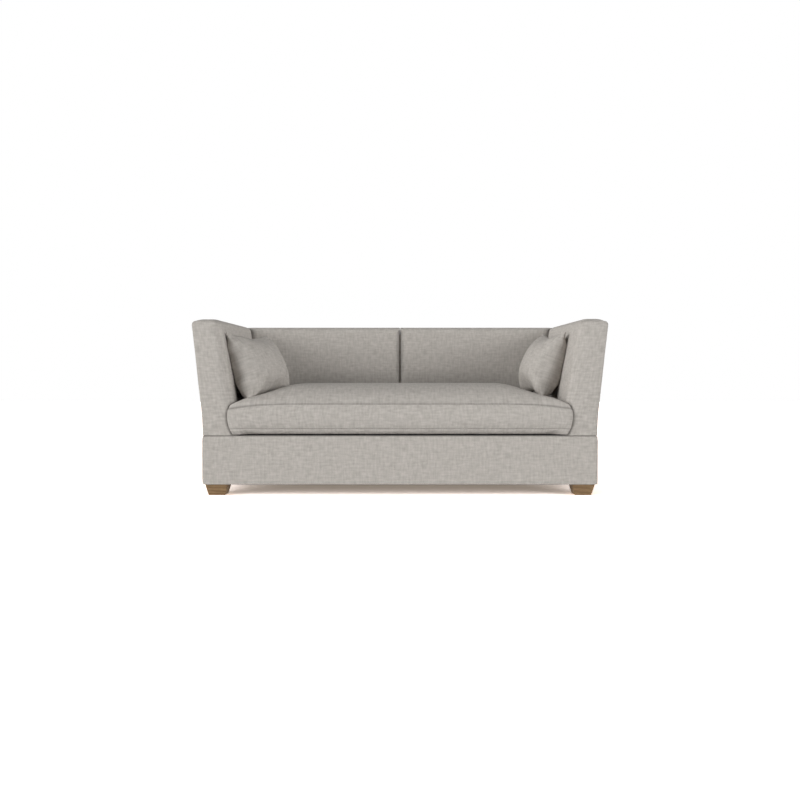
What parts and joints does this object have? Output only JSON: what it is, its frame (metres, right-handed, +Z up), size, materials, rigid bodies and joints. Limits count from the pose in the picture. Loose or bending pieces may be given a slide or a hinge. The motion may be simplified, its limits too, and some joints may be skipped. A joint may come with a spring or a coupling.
{
  "type": "loveseat sofa",
  "caption": "Upholstered loveseat with outward-flared arms, a tight back in panels, a crowned bench cushion, loose throw pillows and low tapered wooden feet.",
  "frame": {"origin": "on the floor, under the middle of the whole form", "axes": "+Z up, +X towards the sitter's left arm as seen from the front on the right, front of the seat towards -Y"},
  "size_m": [1.8318, 0.9178, 0.7783],
  "materials": {
    "linen_upholstery": "greige linen-look weave, pulled tight over padding",
    "linen_cushion": "greige linen-look weave, softly filled",
    "linen_pillow": "greige linen-look weave, softly filled, creased",
    "brown_oak": "stained oak, satin",
    "frame_timber": "plain sawn softwood and plywood",
    "platform_cloth": "black non-woven cloth",
    "elastic_webbing": "woven elastic webbing",
    "zinc_steel": "zinc plated"
  },
  "bodies": {
    "frame": {"arm_cover_left": "linen_upholstery", "arm_cover_right": "linen_upholstery", "arm_front_stump_left": "frame_timber", "arm_front_stump_right": "frame_timber", "arm_rear_stump_left": "frame_timber", "arm_rear_stump_right": "frame_timber", "arm_tack_rail_left": "frame_timber", "arm_tack_rail_right": "frame_timber", "arm_top_rail_left": "frame_timber", "arm_top_rail_right": "frame_timber", "back_pad_left": "linen_upholstery", "back_pad_right": "linen_upholstery", "back_stump_left": "frame_timber", "back_stump_middle": "frame_timber", "back_stump_right": "frame_timber", "back_tack_rail_left": "frame_timber", "back_tack_rail_right": "frame_timber", "back_top_rail": "frame_timber", "base_front_cover": "linen_upholstery", "base_rear_cover": "linen_upholstery", "base_side_cover_left": "linen_upholstery", "base_side_cover_right": "linen_upholstery", "centre_stretcher": "frame_timber", "corner_block_front_left": "frame_timber", "corner_block_front_right": "frame_timber", "corner_block_rear_left": "frame_timber", "corner_block_rear_right": "frame_timber", "cross_strap_1": "elastic_webbing", "cross_strap_2": "elastic_webbing", "deck_pad": "platform_cloth", "dust_cover": "platform_cloth", "foot_bolt_front_left": "zinc_steel", "foot_bolt_front_right": "zinc_steel", "foot_bolt_rear_left": "zinc_steel", "foot_bolt_rear_right": "zinc_steel", "foot_front_left": "brown_oak", "foot_front_right": "brown_oak", "foot_rear_left": "brown_oak", "foot_rear_right": "brown_oak", "front_rail": "frame_timber", "long_strap_1": "elastic_webbing", "long_strap_2": "elastic_webbing", "long_strap_3": "elastic_webbing", "long_strap_4": "elastic_webbing", "long_strap_5": "elastic_webbing", "long_strap_6": "elastic_webbing", "long_strap_7": "elastic_webbing", "long_strap_8": "elastic_webbing", "outside_back_cover": "linen_upholstery", "rear_rail": "frame_timber", "side_rail_left": "frame_timber", "side_rail_right": "frame_timber"},
    "cushion": {"seat_cushion": "linen_cushion", "cushion_front_border": "linen_cushion"},
    "throw_pillow_left": {"pillow_left": "linen_pillow"},
    "throw_pillow_right": {"pillow_right": "linen_pillow"}
  },
  "joints": [
    {"name": "cushion_lift", "type": "slide", "parent": "frame", "child": "cushion", "axis": [0, 0, 1], "range_m": [0, 0.52]},
    {"name": "pillow_left_lift", "type": "slide", "parent": "cushion", "child": "throw_pillow_left", "axis": [0, 0, 1], "range_m": [0, 0.36]},
    {"name": "pillow_right_lift", "type": "slide", "parent": "cushion", "child": "throw_pillow_right", "axis": [0, 0, 1], "range_m": [0, 0.36]}
  ]
}
